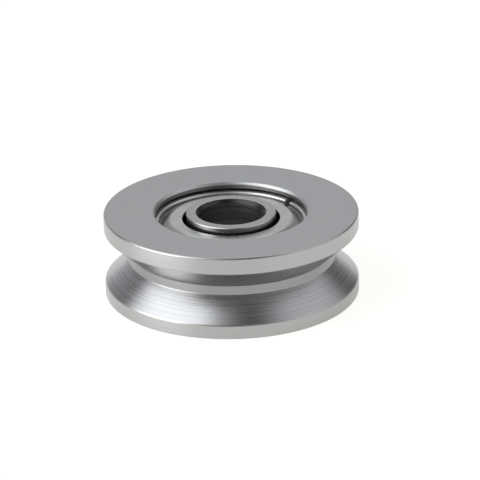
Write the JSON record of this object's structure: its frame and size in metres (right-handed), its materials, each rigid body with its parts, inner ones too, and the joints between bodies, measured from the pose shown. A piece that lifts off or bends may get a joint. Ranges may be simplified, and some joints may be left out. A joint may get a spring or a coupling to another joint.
{
  "type": "v groove wheel",
  "caption": "Small steel ball bearing wheel with a V groove turned into its outer ring, shielded on both sides, for running along a rail, wire or cord.",
  "frame": {"origin": "middle of the wheel, on the axle's axis and halfway between the two side faces", "axes": "+Z along the axle, out of the side that faces up in the picture; +X to the right in the picture; +Y away from the viewer"},
  "size_m": [0.012, 0.012, 0.004],
  "materials": {
    "ring_steel": "turned and ground bearing steel",
    "inner_ring_steel": "ground bearing steel",
    "shield_steel": "pressed sheet, satin",
    "spring_steel": "drawn wire, satin",
    "cage_steel": "pressed sheet, satin",
    "ball_steel": "polished"
  },
  "bodies": {
    "hub": {"inner_ring": "inner_ring_steel"},
    "wheel": {"outer_ring": "ring_steel", "shield_upper": "shield_steel", "shield_lower": "shield_steel", "snap_ring_upper": "spring_steel", "snap_ring_lower": "spring_steel"},
    "cage": {"cage_tabbed_half": "cage_steel", "cage_plain_half": "cage_steel"},
    "rolling_ball_1": {"ball_1": "ball_steel"},
    "rolling_ball_2": {"ball_2": "ball_steel"},
    "rolling_ball_3": {"ball_3": "ball_steel"},
    "rolling_ball_4": {"ball_4": "ball_steel"},
    "rolling_ball_5": {"ball_5": "ball_steel"},
    "rolling_ball_6": {"ball_6": "ball_steel"}
  },
  "joints": [
    {"name": "wheel_spin", "type": "hinge", "parent": "hub", "child": "wheel", "pos_m": [0, 0, 0], "axis": [0, 0, 1], "continuous": true},
    {"name": "cage_spin", "type": "hinge", "parent": "hub", "child": "cage", "pos_m": [0, 0, 0], "axis": [0, 0, 1], "continuous": true},
    {"name": "ball_1_roll", "type": "hinge", "parent": "cage", "child": "rolling_ball_1", "pos_m": [0.00275, 0, 0], "axis": [0, 0, 1], "continuous": true},
    {"name": "ball_2_roll", "type": "hinge", "parent": "cage", "child": "rolling_ball_2", "pos_m": [0.00137, 0.00238, 0], "axis": [0, 0, 1], "continuous": true},
    {"name": "ball_3_roll", "type": "hinge", "parent": "cage", "child": "rolling_ball_3", "pos_m": [-0.00137, 0.00238, 0], "axis": [0, 0, 1], "continuous": true},
    {"name": "ball_4_roll", "type": "hinge", "parent": "cage", "child": "rolling_ball_4", "pos_m": [-0.00275, 0, 0], "axis": [0, 0, 1], "continuous": true},
    {"name": "ball_5_roll", "type": "hinge", "parent": "cage", "child": "rolling_ball_5", "pos_m": [-0.00137, -0.00238, 0], "axis": [0, 0, 1], "continuous": true},
    {"name": "ball_6_roll", "type": "hinge", "parent": "cage", "child": "rolling_ball_6", "pos_m": [0.00137, -0.00238, 0], "axis": [0, 0, 1], "continuous": true}
  ],
  "couplings": [
    {"joint": "cage_spin", "follows": "wheel_spin", "ratio": 0.64432},
    {"joint": "ball_1_roll", "follows": "wheel_spin", "ratio": 1.588},
    {"joint": "ball_2_roll", "follows": "wheel_spin", "ratio": 1.588},
    {"joint": "ball_3_roll", "follows": "wheel_spin", "ratio": 1.588},
    {"joint": "ball_4_roll", "follows": "wheel_spin", "ratio": 1.588},
    {"joint": "ball_5_roll", "follows": "wheel_spin", "ratio": 1.588},
    {"joint": "ball_6_roll", "follows": "wheel_spin", "ratio": 1.588}
  ]
}
